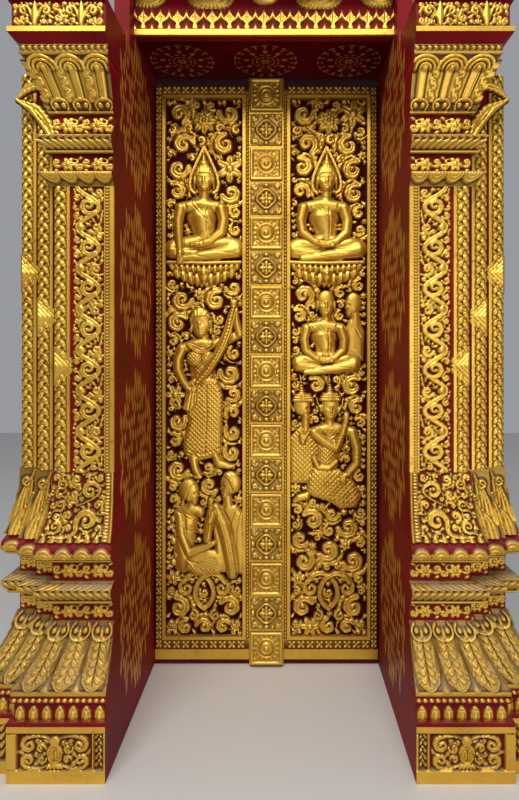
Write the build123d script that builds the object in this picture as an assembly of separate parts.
# Carved temple door: two gilded openwork leaves with a tiled cover strip, hung on pivots
# in a deep red lacquered reveal between two stepped, gilded pilasters.
# Millimetres. +Z up, the carved side faces -Y, the leaves open inwards towards +Y.
from math import cos, pi, radians, sin
import os

from build123d import *

# Doorway
opening_width = 1060        # clear way between the jambs
opening_height = 2768       # floor to soffit
reveal_depth = 690          # leaf face to the front of the pilaster shafts
jamb_thickness = 60
fascia_height = 162
top_board_thickness = 30
head_thickness = 82
soffit_thickness = 62
head_rear = 80              # how far the head beam and threshold run behind the leaf face
threshold_thickness = 6
fascia_setback = 300        # pilaster front back to the fascia over the leaves
fascia_thickness = 40
fascia_fillet_height = 22
fascia_fillet_depth = 14
spike_height = 104
spike_pitch = 52
spike_depth = 16

# Leaves
leaf_thickness = 46
leaf_bottom_gap = 28
leaf_top_gap = 34
leaf_lap = 30               # leaf edge that runs behind the jamb
running_gap = 7             # leaf face to the back of the jamb
side_gap = 5                # leaf border to the jamb
meeting_gap = 4
pivot_radius = 12
pivot_clearance = 0.05
pivot_reach = 40            # dowel length inside the head beam
shoe_height = 16
shoe_wall = 14
bead_width = 36
bead_base = 10
bead_rise = 12
bead_band_height = 48       # bead band along the top and bottom of a leaf
plain_rail_height = 47
stile_width = 98            # plain strip beside the meeting line
rim_width = 14
rim_depth = 30
carving_depth = 30
figure_depth = 46

# Cover strip
strip_width = 160
strip_thickness = 24
strip_floor_gap = 9
strip_soffit_gap = 8
strip_lift = 2              # clearance between the strip and the leaf that it covers
tile_count = 17
tile_rise = 14
tile_margin = 5
tile_edge_share = 0.14
tile_depth = 10

# Pilasters, measured from the jamb's inner face and from the shaft's front
pier_width = 217
step_width = 80
step_depth = 50
pilaster_depth = 210
capital_drop = 704          # soffit down to the top of the shaft
braid_width = 52
braid_depth = 16
braid_fillet = 9            # flat edge beside a braid, as wide as it is high
edge_band_width = 34
edge_band_depth = 14
shaft_scroll_depth = 18
flower_depth = 14
petal_depth = 9
plinth_height = 194
plinth_foot = 45
plinth_fillet = 24
plinth_projection = 120
plinth_border = 47
plinth_outer_border = 22
plinth_recess = 16
plinth_scroll_depth = 14
bud_width = 34
bud_depth = 12

# Pilaster courses, each with its own height, from the floor up
bud_band_height = 74
bud_band_inset = 20
bead_course_height = 21
skirt_height = 218
skirt_lip = 26
skirt_projection = 104
waist_fillet = 13
waist_projection = 5
lower_band_height = 70
lower_chevron_height = 73
chevron_projection = 50
chevron_nose = 14
middle_band_height = 74
lower_petal_height = 76
petal_projection = 54
upper_petal_height = 45
upper_petal_projection = 38
neck_band_height = 70
upper_chevron_height = 66
upper_chevron_projection = 46
upper_band_height = 77
bell_height = 188
bell_fillet = 13
bell_foot_projection = 8
bell_projection = 84
bead_strip_height = 24
cove_height = 28
entablature_height = 128
entablature_projection = 118
entablature_fillet = 18
entablature_recess = 12
foot_flare_height = 240
foot_flare_projection = 44

# Scroll form
scroll_turns_share = 1.25
scroll_shrink_share = 0.36
scroll_width_share = 0.44
scroll_tail_share = 0.9
scroll_steps = 5

# Shapes of the repeated ornaments, as shares of the sizes that they follow
middle_share = 0.5
rosette_share = 0.7
lozenge_shares = (0.6, 0.7)
tile_corner_share = 0.45
plinth_scroll_share = 0.46
vase_shares = (0.7, 0.9)
bud_pitch_share = 1.3
bud_shape_shares = ((-.7, .0), (.7, .0), (1.0, .3), (.0, .9), (-1.0, .3))
petal_profile_shares = ((.25, .85), (.60, 1.0), (1.0, .90))
upper_petal_profile_shares = ((.0, .30), (.40, 1.0), (1.0, .85))
flower_radius_share = 0.42
flower_pitch_share = 2.7
band_scroll_share = 0.9
foot_flare_shares = ((.0, 1.0), (.20, .55), (.55, .18), (1.0, .095))
vine_radius_share = 0.5
vine_pitch_share = 2.45
vine_place_share = 0.56
spike_shape_shares = ((-.46, .0), (.46, .0), (.12, 1.0), (-.12, 1.0))

# Frame of reference: the origin is on the floor, in the middle of the whole depth
front_reach = reveal_depth + plinth_projection
leaf_y = (front_reach - head_rear) / 2
shaft_y = leaf_y - reveal_depth
wall_y = shaft_y + pilaster_depth
jamb_back_y = leaf_y - running_gap
fascia_y = shaft_y + fascia_setback
half_opening = opening_width / 2
leaf_bottom = leaf_bottom_gap
leaf_top = opening_height - leaf_top_gap
pivot_x = half_opening + leaf_lap / 2
pivot_y = leaf_y + leaf_thickness / 2


frame_height = opening_height + fascia_height

# Course levels that follow from those heights
bud_band_top = plinth_height + bud_band_height
bead_course_top = bud_band_top + bead_course_height
skirt_top = bead_course_top + skirt_height
lower_chevron_bottom = skirt_top + lower_band_height
lower_chevron_top = lower_chevron_bottom + lower_chevron_height
lower_petal_bottom = lower_chevron_top + middle_band_height
shaft_bottom = lower_petal_bottom + lower_petal_height
shaft_top = opening_height - capital_drop
upper_petal_top = shaft_top + upper_petal_height
upper_chevron_bottom = upper_petal_top + neck_band_height
upper_chevron_top = upper_chevron_bottom + upper_chevron_height
bell_bottom = upper_chevron_top + upper_band_height
bell_top = bell_bottom + bell_height
bead_strip_top = bell_top + bead_strip_height
entablature_bottom = bead_strip_top + cove_height
entablature_top = entablature_bottom + entablature_height


def closed_solid(rings):
    """One solid through rings of points: flat first and last faces, flat sides between."""
    count = len(rings[0])
    faces = [Face(Wire.make_polygon(ring, close=True)) for ring in (rings[0], rings[-1])]
    for low, high in zip(rings, rings[1:]):
        for i in range(count):
            j = (i + 1) % count
            faces.append(Face(Wire.make_polygon([low[i], low[j], high[j], high[i]], close=True)))
    return Solid(Shell(faces))


def relief(outline, ground, levels):
    """A carved form on a ground plane: the outline shrinks about its middle from level to level."""
    mid_a = sum(a for a, _ in outline) / len(outline)
    mid_b = sum(b for _, b in outline) / len(outline)
    rings = []
    for height, scale in levels:
        ring = [(mid_a + (a - mid_a) * scale, mid_b + (b - mid_b) * scale, height) for a, b in outline]
        rings.append([ground.from_local_coords(Vector(*point)) for point in ring])
    return closed_solid(rings)


def flat(depth):
    return [(0, 1), (depth, 1)]


def domed(depth, shoulder_share=0.6, shoulder_scale_share=0.9, top_scale_share=0.5):
    return [(0, 1), (depth * shoulder_share, shoulder_scale_share), (depth, top_scale_share)]


def crowned(depth, top_scale_share=0.66):
    return [(0, 1), (depth, top_scale_share)]


def upright(x, y, z):
    """Ground plane that faces the viewer: local x to the right, local y up."""
    return Plane(origin=(x, y, z), x_dir=(1, 0, 0), z_dir=(0, -1, 0))


def block(x0, x1, y0, y1, z0, z1):
    middle = ((x0 + x1) / 2, (y0 + y1) / 2, (z0 + z1) / 2)
    return Pos(*middle) * Box(x1 - x0, y1 - y0, z1 - z0)


def mirrored(shape):
    return mirror(shape, about=Plane.YZ)


def joined(shapes):
    whole = shapes[0]
    for shape in shapes[1:]:
        whole = whole + shape
    return whole


def round_outline(mid_a, mid_b, radius_a, radius_b, count, turn_share=0.0):
    angles = [2 * pi * (i + turn_share) / count for i in range(count)]
    return [(mid_a + radius_a * cos(angle), mid_b + radius_b * sin(angle)) for angle in angles]


def flower_outline(mid_a, mid_b, radius, petals=6, notch_share=0.62):
    points = []
    for i in range(2 * petals):
        reach = radius * (1 if i % 2 else notch_share)
        angle = pi * i / petals
        points.append((mid_a + reach * cos(angle), mid_b + reach * sin(angle)))
    return points


def scroll_outline(mid_a, mid_b, radius, start_deg, hand):
    """A spiral leaf from its tail to its eye; hand is 1 for anticlockwise and -1 for clockwise."""
    start = radians(start_deg)
    tail = radius * scroll_tail_share
    tip = (
        mid_a + radius * cos(start) + hand * tail * sin(start),
        mid_b + radius * sin(start) - hand * tail * cos(start),
    )
    outer = []
    inner = []
    for i in range(scroll_steps + 1):
        turn = scroll_turns_share * i / scroll_steps
        angle = start + hand * 2 * pi * turn
        reach = radius * scroll_shrink_share**turn
        near = reach * (1 - scroll_width_share)
        outer.append((mid_a + reach * cos(angle), mid_b + reach * sin(angle)))
        inner.append((mid_a + near * cos(angle), mid_b + near * sin(angle)))
    return [tip] + outer + inner[::-1]


# Openwork panels. Places are shares of the carved field: across from the jamb to the
# meeting line, and up from its bottom. Scrolls: (across, up, radius share of width, start, hand).
upper_scroll_shares = (
    (0.20, 0.965, 0.17, 200, -1), (0.80, 0.965, 0.17, -20, 1), (0.15, 0.885, 0.16, 190, 1),
    (0.85, 0.885, 0.16, -10, -1), (0.12, 0.805, 0.14, 200, -1), (0.88, 0.805, 0.14, -20, 1),
)
lower_scroll_shares = (
    (0.25, 0.085, 0.20, 190, -1), (0.75, 0.085, 0.20, -10, 1), (0.17, 0.022, 0.14, 200, 1),
    (0.83, 0.022, 0.14, -20, -1), (0.50, 0.045, 0.16, 60, 1),
)
middle_scroll_shares = {
    "left": (
        (0.15, 0.600, 0.15, 190, -1), (0.15, 0.500, 0.15, 190, 1), (0.86, 0.475, 0.14, -10, -1),
        (0.86, 0.395, 0.14, -10, 1), (0.14, 0.360, 0.14, 190, -1), (0.50, 0.640, 0.13, 70, 1),
    ),
    "right": (
        (0.15, 0.600, 0.15, 190, -1), (0.14, 0.530, 0.14, 190, 1), (0.85, 0.430, 0.15, -10, 1),
        (0.15, 0.235, 0.15, 190, -1), (0.85, 0.200, 0.15, -10, 1), (0.30, 0.165, 0.17, 190, 1),
    ),
}

# Figures, as outlines in shares of their own width and height about the middle of their base,
# each with the share of the full carving depth that it stands forward.
seated_shares = (
    (
        ((-.50, .07), (-.44, .00), (.44, .00), (.50, .07), (.45, .16), (.20, .22), (-.20, .22), (-.45, .16)),
        .90,
    ),
    (((-.20, .18), (.20, .18), (.27, .58), (.20, .66), (-.20, .66), (-.27, .58)), .80),
    (((-.27, .62), (-.20, .60), (-.24, .38), (-.04, .26), (-.04, .20), (-.34, .32)), .95),
    (((.27, .62), (.34, .32), (.04, .20), (.04, .26), (.24, .38), (.20, .60)), .95),
    (((-.06, .60), (.06, .60), (.06, .74), (-.06, .74)), .75),
    (
        ((-.11, .72), (.0, .68), (.11, .72), (.13, .84), (.08, .94), (.0, 1.0), (-.08, .94), (-.13, .84)),
        1.0,
    ),
)
aureole_shares = ((-.24, .62), (.24, .62), (.26, .84), (.14, 1.02), (.0, 1.22), (-.14, 1.02), (-.26, .84))
throne_shares = (
    (((-.50, .62), (-.46, .45), (.46, .45), (.50, .62), (.46, 1.0), (-.46, 1.0)), .90),
    (((-.44, .45), (-.32, .12), (.0, .0), (.32, .12), (.44, .45)), .75),
)
standing_shares = (
    (((-.22, .10), (.26, .10), (.22, .50), (.17, .58), (-.14, .58), (-.20, .50)), .80),
    (((-.14, .56), (.16, .56), (.20, .76), (.12, .82), (-.14, .82), (-.24, .76)), .86),
    (((-.24, .78), (-.13, .77), (-.24, .62), (-.04, .53), (-.06, .48), (-.36, .60)), .95),
    (((.02, .53), (.11, .52), (.36, .80), (.46, 1.0), (.34, .97), (.22, .78)), .92),
    (((-.16, .86), (-.06, .79), (.04, .86), (.05, .93), (-.06, .99), (-.17, .93)), 1.0),
    (((-.20, .00), (-.05, .00), (-.06, .12), (-.16, .12)), .74),
    (((.06, .05), (.34, .05), (.24, .10), (.06, .12)), .71),
)
kneeling_shares = (
    (((-.48, .00), (.46, .00), (.50, .16), (.30, .30), (-.20, .34), (-.42, .20)), .85),
    (((-.34, .26), (.20, .26), (.26, .56), (.12, .66), (-.26, .66), (-.38, .50)), .80),
    (
        ((-.04, .58), (.14, .34), (.40, .62), (.34, .82), (.26, .80), (.26, .62), (.14, .50), (.06, .62)),
        .95,
    ),
    (((-.24, .70), (-.10, .62), (.08, .70), (.10, .82), (.0, .92), (-.16, .92), (-.26, .82)), 1.0),
)
companion_shares = (
    (((-.30, .00), (.30, .00), (.34, .40), (.16, .56), (-.20, .56), (-.34, .40)), .60),
    (((-.20, .66), (-.06, .54), (.12, .62), (.18, .78), (.08, .94), (-.10, .96), (-.22, .82)), .75),
)
# Which figure stands where: (outlines, across, up, width share, height share of the width, hand)
figure_places = {
    "left": (
        (seated_shares, 0.50, 0.696, 0.98, 1.23, 1), (standing_shares, 0.46, 0.290, 0.86, 2.57, 1),
        (kneeling_shares, 0.71, 0.112, 0.60, 2.05, -1), (kneeling_shares, 0.29, 0.112, 0.58, 2.0, 1),
    ),
    "right": (
        (companion_shares, 0.78, 0.500, 0.42, 2.20, -1), (seated_shares, 0.50, 0.696, 0.98, 1.23, 1),
        (seated_shares, 0.47, 0.486, 0.84, 1.24, 1), (companion_shares, 0.22, 0.250, 0.42, 3.60, 1),
        (kneeling_shares, 0.58, 0.223, 0.80, 2.05, 1),
    ),
}
throne_place_shares = (0.50, 0.645, 0.96, 0.355)
crown_flower_shares = (0.50, 0.963, 0.15)


def leaf_field():
    """Edges of the carved field on the right leaf: from the meeting line out, and bottom to top."""
    near = stile_width + rim_width
    far = half_opening - side_gap - bead_width - rim_width
    low = leaf_bottom + plain_rail_height + bead_band_height + rim_width
    high = leaf_top - bead_band_height - rim_width
    return near, far, low, high


def figure(outlines, mid_x, base_z, width, height, hand):
    solids = []
    for outline, depth_share in outlines:
        points = [(hand * a * width, b * height) for a, b in outline]
        ground = upright(mid_x, leaf_y, base_z)
        solids.append(relief(points, ground, domed(figure_depth * depth_share)))
    return solids


def leaf_carving(side):
    """The pierced panel of one leaf: rim, scrolls and figures in one piece."""
    near, far, low, high = leaf_field()
    width = far - near
    height = high - low

    def place(across, up):
        """Across runs from the left edge of the field as the viewer sees it."""
        left_edge = near if side == "right" else -far
        return left_edge + across * width, low + up * height

    rim = block(
        near - rim_width, far + rim_width, leaf_y - rim_depth, leaf_y, low - rim_width, high + rim_width
    )
    rim -= block(near, far, leaf_y - rim_depth, leaf_y, low, high)
    field = block(near, far, leaf_y - 2 * figure_depth, leaf_y, low, high)
    if side == "left":
        rim, field = mirrored(rim), mirrored(field)
    pieces = []
    ground = upright(0, leaf_y, 0)
    scroll_shares = upper_scroll_shares + middle_scroll_shares[side] + lower_scroll_shares
    for across, up, size, start, turn in scroll_shares:
        outline = scroll_outline(*place(across, up), size * width, start, turn)
        pieces.append(relief(outline, ground, flat(carving_depth)))
    flower = flower_outline(*place(*crown_flower_shares[:2]), crown_flower_shares[2] * width)
    pieces.append(relief(flower, ground, domed(figure_depth)))
    across, up, throne_width, throne_height = throne_place_shares
    throne_x, throne_z = place(across, up)
    pieces += figure(throne_shares, throne_x, throne_z, throne_width * width, throne_height * width, 1)
    for outlines, across, up, size, ratio, turn in figure_places[side]:
        x, z = place(across, up)
        pieces += figure(outlines, x, z, size * width, size * width * ratio, turn)
        if outlines is seated_shares and up > throne_place_shares[1]:
            points = [(a * size * width, b * size * width * ratio) for a, b in aureole_shares]
            pieces.append(relief(points, upright(x, leaf_y, z), domed(carving_depth)))
    return Compound([rim] + (joined(pieces) & field).solids())


def round_bar(length, width):
    """A round-topped bar along local X, standing on local Z = 0, centred across local Y."""
    half = width / 2
    top = bead_base + bead_rise
    section = [
        (-half, 0), (half, 0), (half, bead_base), (half / 2, top), (-half / 2, top), (-half, bead_base),
    ]
    return closed_solid([[Vector(x, y, z) for y, z in section] for x in (0, length)])


def on_leaf(bar, x, z, upwards):
    """Stand a bar on the leaf face with its start at x, z, running up or to the right."""
    along = (0, 0, 1) if upwards else (1, 0, 0)
    return Plane(origin=(x, leaf_y, z), x_dir=along, z_dir=(0, -1, 0)) * bar


def leaf_border():
    """The right leaf's border: bead bands round three sides, a plain rail below, a plain stile."""
    outer = half_opening - side_gap
    inner = meeting_gap / 2
    band_bottom = leaf_bottom + plain_rail_height
    upright_bar = round_bar(leaf_top - band_bottom, bead_width)
    stile = on_leaf(upright_bar, outer - bead_width / 2, band_bottom, True)
    band = round_bar(outer - bead_width - inner, bead_band_height)
    top_band = on_leaf(band, inner, leaf_top - bead_band_height / 2, False)
    low_band = on_leaf(band, inner, band_bottom + bead_band_height / 2, False)
    rail = block(inner, outer, leaf_y - bead_base - bead_rise, leaf_y, leaf_bottom, band_bottom)
    plain_bottom = band_bottom + bead_band_height
    plain_top = leaf_top - bead_band_height
    plain = block(inner, stile_width, leaf_y - bead_base, leaf_y, plain_bottom, plain_top)
    strip_edge = strip_width / 2 + strip_lift
    under_strip = block(
        -strip_edge, strip_edge, leaf_y - bead_base - bead_rise, leaf_y - bead_base, leaf_bottom, leaf_top
    )
    return joined([stile, top_band, low_band, rail, plain]) - under_strip


def leaf_board():
    """The right leaf's plank with the two dowels that it turns on."""
    plank = block(
        meeting_gap / 2, half_opening + leaf_lap, leaf_y, leaf_y + leaf_thickness, leaf_bottom, leaf_top
    )
    dowel_top = opening_height + pivot_reach
    upper = Pos(pivot_x, pivot_y, (leaf_top + dowel_top) / 2) * Cylinder(pivot_radius, dowel_top - leaf_top)
    lower_height = leaf_bottom - threshold_thickness - pivot_clearance
    lower = Pos(pivot_x, pivot_y, leaf_bottom - lower_height / 2) * Cylinder(pivot_radius, lower_height)
    return plank + upper + lower


def pivot_shoe():
    """The socket on the threshold that carries a leaf's lower dowel."""
    reach = pivot_radius + shoe_wall
    top = threshold_thickness + shoe_height
    rear = leaf_y + leaf_thickness
    shoe = block(pivot_x - reach, pivot_x + reach, leaf_y, rear, threshold_thickness, top)
    bore = Pos(pivot_x, pivot_y, threshold_thickness + shoe_height / 2) * Cylinder(
        pivot_radius + pivot_clearance, shoe_height
    )
    return shoe - bore


def head_beam():
    """The beam behind the reveal that takes the upper dowels."""
    reach = half_opening + jamb_thickness
    top = opening_height + head_thickness
    beam = block(-reach, reach, jamb_back_y, leaf_y + head_rear, opening_height, top)
    bore_depth = pivot_reach + shoe_wall
    for side in (-1, 1):
        middle = opening_height + bore_depth / 2
        beam -= Pos(side * pivot_x, pivot_y, middle) * Cylinder(pivot_radius + pivot_clearance, bore_depth)
    return beam


def cover_strip():
    """The strip on the meeting line: raised rosette tiles and lower lozenge tiles by turns."""
    bottom = strip_floor_gap
    top = opening_height - strip_soffit_gap
    back_y = leaf_y - bead_base - strip_lift
    front_y = back_y - strip_thickness
    half = strip_width / 2
    pieces = [block(-half, half, front_y, back_y, bottom, top)]
    seat = block(strip_lift, half, back_y, leaf_y - bead_base, leaf_bottom, leaf_top)
    pieces.append(seat)
    tile = (top - bottom) / tile_count
    half_tile = min(tile, strip_width) / 2 - tile_margin
    for i in range(tile_count):
        mid_z = bottom + (i + middle_share) * tile
        if i % 2 == 0:
            plate = block(
                -half_tile, half_tile, front_y - tile_rise, front_y, mid_z - half_tile, mid_z + half_tile
            )
            field = half_tile * (1 - tile_edge_share)
            radius = field * rosette_share
            plate -= block(
                -field, field, front_y - tile_rise, front_y - tile_rise / 2, mid_z - field, mid_z + field
            )
            ground = upright(0, front_y - tile_rise / 2, mid_z)
            rosette = round_outline(0, 0, radius, radius, 8, middle_share)
            pieces += [plate, relief(rosette, ground, crowned(tile_depth))]
        else:
            ground = upright(0, front_y, mid_z)
            wide, tall = (half_tile * share for share in lozenge_shares)
            lozenge = [(wide, 0), (0, tall), (-wide, 0), (0, -tall)]
            pieces.append(relief(lozenge, ground, crowned(tile_depth)))
            inset = half_tile * tile_corner_share
            for a, b in ((-1, -1), (-1, 1), (1, -1), (1, 1)):
                corner = [
                    (a * half_tile, b * half_tile), (a * half_tile, b * inset), (a * inset, b * half_tile),
                ]
                pieces.append(relief(corner, ground, crowned(tile_depth)))
    return joined(pieces)


def plan_ring(projection, z, stepped=True):
    """The pilaster's stepped plan at one height, as ring points from the back of the jamb side."""
    inner = half_opening
    pier = inner + pier_width + projection
    front = shaft_y - projection
    points = [(inner, wall_y), (inner, front), (pier, front)]
    if stepped:
        for i in (1, 2):
            back = front + i * step_depth
            points += [(pier + (i - 1) * step_width, back), (pier + i * step_width, back)]
        points.append((pier + 2 * step_width, wall_y))
    else:
        points.append((pier, wall_y))
    return [Vector(x, y, z) for x, y in points]


def course(profile, stepped=True):
    """A pilaster course through (height, projection) pairs; a repeated height is a ledge."""
    lifts = [[profile[0]]]
    for pair in profile[1:]:
        if pair[0] == lifts[-1][-1][0]:
            lifts.append([])
        lifts[-1].append(pair)
    return joined([closed_solid([plan_ring(p, z, stepped) for z, p in lift]) for lift in lifts])


def front_faces(projection):
    """The stepped front faces at one projection: (inner x, outer x, y)."""
    pier = half_opening + pier_width + projection
    faces = [(half_opening, pier, shaft_y - projection)]
    for i in (1, 2):
        start = pier + (i - 1) * step_width
        faces.append((start, start + step_width, shaft_y - projection + i * step_depth))
    return faces


def sloped_petals(low, high, count, stepped=True):
    """Petals on each sloped front face between two (height, projection) pairs."""
    (z0, p0), (z1, p1) = low, high
    rise = Vector(0, p0 - p1, z1 - z0)
    petals = []
    for index, (x0, x1, y) in enumerate(front_faces(p0)[: 3 if stepped else 1]):
        number = count if index == 0 else 1
        pitch = (x1 - x0) / number
        narrowing = (p0 - p1) / number if index == 0 else 0
        for i in range(number):
            lean = narrowing * (i + middle_share) if index == 0 else p0 - p1
            start = (x0 + (i + middle_share) * pitch, y, z0)
            ground = Plane(origin=start, x_dir=(1, 0, 0), z_dir=Vector(1, 0, 0).cross(rise))
            points = []
            for a, b in petal_shape_shares:
                points.append((a * (pitch - narrowing * b) - lean * b, b * rise.length))
            petals.append(relief(points, ground, crowned(petal_depth)))
    return petals


petal_shape_shares = ((-.36, .12), (-.18, .03), (.18, .03), (.36, .12), (.34, .80), (.0, .97), (-.34, .80))


def plinth():
    """The pilaster's foot block with its recessed front panel."""
    body = course([(0, plinth_projection), (plinth_height, plinth_projection)])
    x0, x1, y = front_faces(plinth_projection)[0]
    recess = block(
        x0 + plinth_border, x1 - plinth_outer_border, y, y + plinth_recess,
        plinth_foot, plinth_height - plinth_fillet,
    )
    return body - recess


def plinth_scrolls():
    """Four scrolls about a vase in the plinth's panel."""
    x0, x1, y = front_faces(plinth_projection)[0]
    left, right = x0 + plinth_border, x1 - plinth_outer_border
    low, high = plinth_foot, plinth_height - plinth_fillet
    mid_x, mid_z = (left + right) / 2, (low + high) / 2
    ground = upright(mid_x, y + plinth_recess, mid_z)
    half_height = (high - low) / 2
    radius = half_height * plinth_scroll_share
    vase = round_outline(0, 0, radius * vase_shares[0], half_height * vase_shares[1], 8)
    pieces = [relief(vase, ground, crowned(plinth_scroll_depth))]
    for a in (-1, 1):
        for b in (-1, 1):
            start = 180 if a > 0 else 0
            outline = scroll_outline(a * radius * 2, b * radius, radius, start, -a * b)
            pieces.append(relief(outline, ground, flat(plinth_scroll_depth)))
    return joined(pieces)


def bud_band():
    """The red band over the plinth, between its fillet and the bead course."""
    inset = plinth_projection - bud_band_inset
    fillet_top = plinth_height + plinth_fillet / 2
    return course([
        (plinth_height, plinth_projection), (fillet_top, plinth_projection), (fillet_top, inset),
        (bud_band_top, inset), (bud_band_top, plinth_projection - bud_band_inset / 2),
        (bead_course_top, plinth_projection - bud_band_inset / 2),
    ])


def buds():
    """Lotus buds along the red band."""
    inset = plinth_projection - bud_band_inset
    low = plinth_height + plinth_fillet / 2
    height = bud_band_top - low
    pieces = []
    for x0, x1, y in front_faces(inset):
        number = max(1, round((x1 - x0) / (bud_width * bud_pitch_share)))
        pitch = (x1 - x0) / number
        for i in range(number):
            ground = upright(x0 + (i + middle_share) * pitch, y, low)
            outline = [(a * bud_width / 2, b * height) for a, b in bud_shape_shares]
            pieces.append(relief(outline, ground, crowned(bud_depth)))
    return Compound(pieces)


def leaf_skirt():
    """The flared skirt of long leaves above the buds."""
    lip_top = bead_course_top + skirt_lip
    slope = [(lip_top, skirt_projection), (skirt_top, waist_projection)]
    body = course([(bead_course_top, skirt_projection)] + slope)
    return joined([body] + sloped_petals(slope[0], slope[1], 4))


def waist():
    """The red neck between skirt and shaft, ringed by the two gilded mouldings."""
    return course([(skirt_top, waist_projection), (shaft_bottom, waist_projection)])


def ring_moulding(profile, core_projection, stepped=True):
    """A moulding that wraps the core: its own profile, with the core and the braids taken out."""
    core = course([(profile[0][0], core_projection), (profile[-1][0], core_projection)])
    ring = course(profile, stepped) - core
    if not stepped:
        ring = joined([ring]) - braid(*list(braid_faces())[1])
    return ring


def lower_chevron():
    return ring_moulding([
        (lower_chevron_bottom, waist_projection + chevron_nose),
        (lower_chevron_bottom + chevron_nose, waist_projection + chevron_nose),
        (lower_chevron_bottom + 2 * chevron_nose, chevron_projection),
        (lower_chevron_bottom + 3 * chevron_nose, chevron_projection),
        (lower_chevron_top, waist_projection + chevron_nose / 2),
    ], waist_projection)


def lower_petals():
    height = shaft_bottom - lower_petal_bottom
    return ring_moulding([
        (lower_petal_bottom, waist_projection + chevron_nose),
        *((lower_petal_bottom + up * height, out * petal_projection) for up, out in petal_profile_shares),
    ], waist_projection)


def flower_bands(bands, projection):
    """Flowers and scrolls by turns along the red bands between mouldings."""
    x0, x1, y = front_faces(projection)[0]
    pieces = []
    for low, high in bands:
        radius = (high - low) * flower_radius_share
        number = max(1, int((x1 - x0) / (radius * flower_pitch_share)))
        pitch = (x1 - x0) / number
        for i in range(number):
            ground = upright(x0 + (i + middle_share) * pitch, y, (low + high) / 2)
            if i % 2:
                outline = scroll_outline(0, 0, radius * band_scroll_share, 180, 1)
                pieces.append(relief(outline, ground, flat(flower_depth)))
            else:
                pieces.append(relief(flower_outline(0, 0, radius, 4), ground, crowned(flower_depth)))
    return Compound(pieces)


def shaft():
    """The red stepped core from the lower petals to the entablature."""
    return course([(shaft_bottom, 0), (bell_top, 0)])


def shaft_foot():
    """The flame leaves that flare out at the shaft's foot."""
    flare = [
        (shaft_bottom + up * foot_flare_height, out * foot_flare_projection) for up, out in foot_flare_shares
    ]
    return ring_moulding(flare, 0)


def braid_faces():
    """The three faces that carry braids, with the height that each braid runs to."""
    x0, x1, y = front_faces(0)[0]
    faces = [(x1 - step_width, x1, y)] + front_faces(0)[1:]
    return zip(faces, (shaft_top, bell_bottom, bell_top))


def braid(face, top):
    """One round-topped braid strip with its two flat fillets."""
    x0, x1, y = face
    middle = (x0 + x1) / 2
    half = braid_width / 2
    fillet = half - braid_fillet
    section = [
        (-half, 0), (-half, braid_fillet), (-fillet, braid_fillet), (-fillet / 2, braid_depth),
        (fillet / 2, braid_depth), (fillet, braid_fillet), (half, braid_fillet), (half, 0),
    ]
    low = shaft_bottom + foot_flare_height
    return closed_solid([[Vector(middle + a, y - depth, z) for a, depth in section] for z in (low, top)])


def braids():
    """The plaited strips on the three outer faces of the shaft."""
    return Compound([braid(face, top) for face, top in braid_faces()])


def edge_band():
    """The plain gilded strip along the shaft's doorway edge."""
    low = shaft_bottom + foot_flare_height
    return block(
        half_opening, half_opening + edge_band_width, shaft_y - edge_band_depth, shaft_y, low, shaft_top
    )


def shaft_scrolls():
    """The running vine in the shaft's main panel: scrolls from side to side, each on the last."""
    low = shaft_bottom + foot_flare_height
    left = half_opening + edge_band_width
    right = half_opening + pier_width - step_width
    radius = (right - left) * vine_radius_share
    count = int((shaft_top - low) / (radius * vine_pitch_share))
    pitch = (shaft_top - low) / count
    ground = upright((left + right) / 2, shaft_y, low)
    pieces = []
    for i in range(count):
        hand = 1 if i % 2 else -1
        outline = scroll_outline(0, (i + vine_place_share) * pitch, radius, -90, hand)
        pieces.append(relief(outline, ground, flat(shaft_scroll_depth)))
    return Compound(joined(pieces).solids())


def upper_petals():
    height = upper_petal_top - shaft_top
    return ring_moulding([
        (shaft_top + up * height, out * upper_petal_projection) for up, out in upper_petal_profile_shares
    ], 0, False)


def upper_chevron():
    return ring_moulding([
        (upper_chevron_bottom, chevron_nose / 2),
        (upper_chevron_bottom + chevron_nose, chevron_nose / 2),
        (upper_chevron_top - chevron_nose / 2, upper_chevron_projection),
        (upper_chevron_top, upper_chevron_projection),
    ], 0, False)


def capital_bell():
    """The flared bell of long leaves under the entablature, round the pier alone."""
    foot = bell_bottom + bell_fillet
    slope = [(foot, bell_foot_projection), (bell_top, bell_projection)]
    body = course([(bell_bottom, bell_foot_projection)] + slope, False)
    petals = sloped_petals(slope[0], slope[1], 4, False)
    return joined([body] + petals) - course([(bell_bottom, 0), (bell_top, 0)])


def capital_crown():
    """The bead strip on the bell and the red cove that leans out to the entablature."""
    return course([
        (bell_top, bell_projection), (bead_strip_top, bell_projection),
        (entablature_bottom, entablature_projection),
    ], False)


def entablature():
    """The block over the capital: a panel between two gilded fillets."""
    recess = entablature_projection - entablature_recess
    return course([
        (entablature_bottom, entablature_projection),
        (entablature_bottom + entablature_fillet, entablature_projection),
        (entablature_bottom + entablature_fillet, recess),
        (entablature_top - entablature_fillet, recess),
        (entablature_top - entablature_fillet, entablature_projection),
        (entablature_top, entablature_projection),
    ], False)


def entablature_scrolls():
    recess = entablature_projection - entablature_recess
    low = entablature_bottom + entablature_fillet
    high = entablature_top - entablature_fillet
    return flower_bands([(low, high)], recess)


def reveal():
    """The red lining round the doorway: jambs, soffit, fascia board and top board."""
    jamb = block(half_opening, half_opening + jamb_thickness, wall_y, jamb_back_y, 0, frame_height)
    soffit = block(
        -half_opening, half_opening, fascia_y + fascia_thickness, jamb_back_y,
        opening_height, opening_height + soffit_thickness,
    )
    fascia_back = fascia_y + fascia_thickness
    fascia = block(-half_opening, half_opening, fascia_y, fascia_back, opening_height, frame_height)
    reach = half_opening + jamb_thickness
    top = block(-reach, reach, wall_y, jamb_back_y, frame_height, frame_height + top_board_thickness)
    return jamb, soffit, fascia, top


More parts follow.
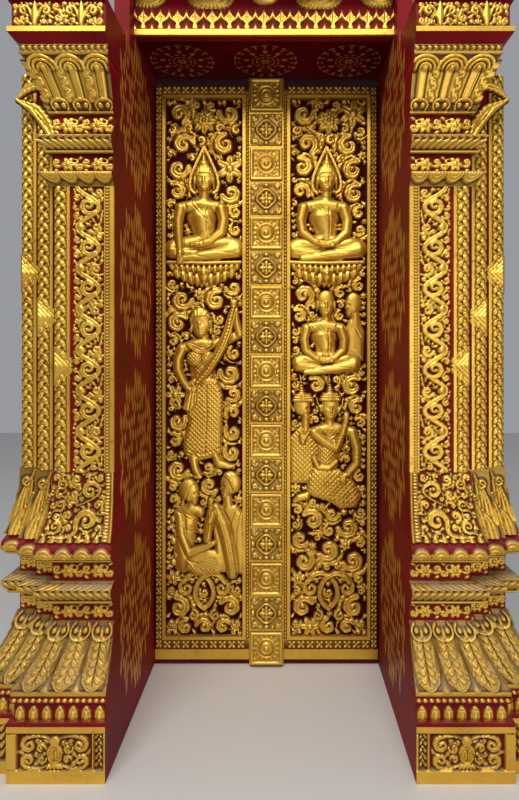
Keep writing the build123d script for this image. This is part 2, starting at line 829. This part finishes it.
def spike_band():
    """The gilded fillet and the row of leaf points on the fascia."""
    fillet_top = opening_height + fascia_fillet_height
    pieces = [
        block(
            -half_opening, half_opening, fascia_y - fascia_fillet_depth, fascia_y, opening_height, fillet_top
        )
    ]
    count = round(opening_width / spike_pitch)
    pitch = opening_width / count
    for i in range(count):
        ground = upright(-half_opening + (i + middle_share) * pitch, fascia_y, fillet_top)
        outline = [(a * pitch, b * spike_height) for a, b in spike_shape_shares]
        pieces.append(relief(outline, ground, crowned(spike_depth)))
    return joined(pieces)


def threshold():
    reach = half_opening + jamb_thickness
    return block(-reach, reach, jamb_back_y, leaf_y + head_rear, 0, threshold_thickness)


def pilaster_pieces():
    """Every piece of the right pilaster, by its plain name."""
    waist_bands = [(skirt_top + waist_fillet, lower_chevron_bottom), (lower_chevron_top, lower_petal_bottom)]
    neck_bands = [(upper_petal_top, upper_chevron_bottom), (upper_chevron_top, bell_bottom)]
    return {
        "plinth": plinth(),
        "plinth_scrolls": plinth_scrolls(),
        "bud_band": bud_band(),
        "buds": buds(),
        "leaf_skirt": leaf_skirt(),
        "waist": waist(),
        "waist_flowers": flower_bands(waist_bands, waist_projection),
        "lower_chevron_moulding": lower_chevron(),
        "lower_petal_moulding": lower_petals(),
        "shaft": shaft(),
        "shaft_foot_leaves": shaft_foot(),
        "shaft_braids": braids(),
        "shaft_edge_band": edge_band(),
        "shaft_scrolls": shaft_scrolls(),
        "upper_petal_moulding": upper_petals(),
        "upper_chevron_moulding": upper_chevron(),
        "neck_flowers": flower_bands(neck_bands, 0),
        "capital_bell": capital_bell(),
        "capital_crown": capital_crown(),
        "entablature_block": entablature(),
        "entablature_scrolls": entablature_scrolls(),
    }


def all_pieces():
    pieces = {}
    for name, shape in pilaster_pieces().items():
        pieces["right_" + name] = shape
        pieces["left_" + name] = mirrored(shape)
    jamb, soffit, fascia, top = reveal()
    shoe = pivot_shoe()
    board = leaf_board()
    border = leaf_border()
    pieces.update({
        "right_jamb": jamb,
        "left_jamb": mirrored(jamb),
        "soffit_board": soffit,
        "fascia_board": fascia,
        "top_board": top,
        "spike_band": spike_band(),
        "head_beam": head_beam(),
        "threshold": threshold(),
        "pivot_shoes": Compound([shoe, mirrored(shoe)]),
        "right_leaf_board": board,
        "left_leaf_board": mirrored(board),
        "right_leaf_border": border,
        "left_leaf_border": mirrored(border),
        "right_leaf_carving": leaf_carving("right"),
        "left_leaf_carving": leaf_carving("left"),
        "cover_strip": cover_strip(),
    })
    return pieces


def main():
    os.makedirs("parts", exist_ok=True)
    for name, shape in all_pieces().items():
        export_step(shape, os.path.join("parts", name + ".step"))


main()
